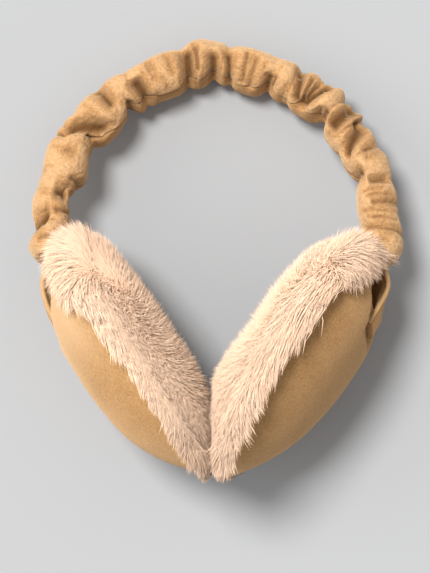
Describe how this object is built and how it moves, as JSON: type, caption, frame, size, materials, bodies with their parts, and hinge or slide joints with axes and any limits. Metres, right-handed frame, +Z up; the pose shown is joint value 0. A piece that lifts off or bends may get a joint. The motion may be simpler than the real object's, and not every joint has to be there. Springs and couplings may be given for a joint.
{
  "type": "fur earmuffs",
  "caption": "Earmuffs with a ruched suede headband sleeve and stuffed fur ear pads in suede shells, lying on their side.",
  "frame": {"origin": "on the table, under the middle of the whole object as it lies", "axes": "+Y from the ear pads to the crown of the headband, +X to the ear pad on the right as seen from above, +Z up from the table"},
  "size_m": [0.1626, 0.1958, 0.108],
  "materials": {
    "suede": "brushed matt suede",
    "fur": "deep soft pile"
  },
  "bodies": {
    "root": {"headband_cover": "suede", "headband_inner_strip": "suede", "strap_end_right": "suede", "strap_end_left": "suede", "pad_shell_right": "suede", "pad_shell_left": "suede", "fur_pad_right": "fur", "fur_pad_left": "fur"}
  },
  "joints": []
}
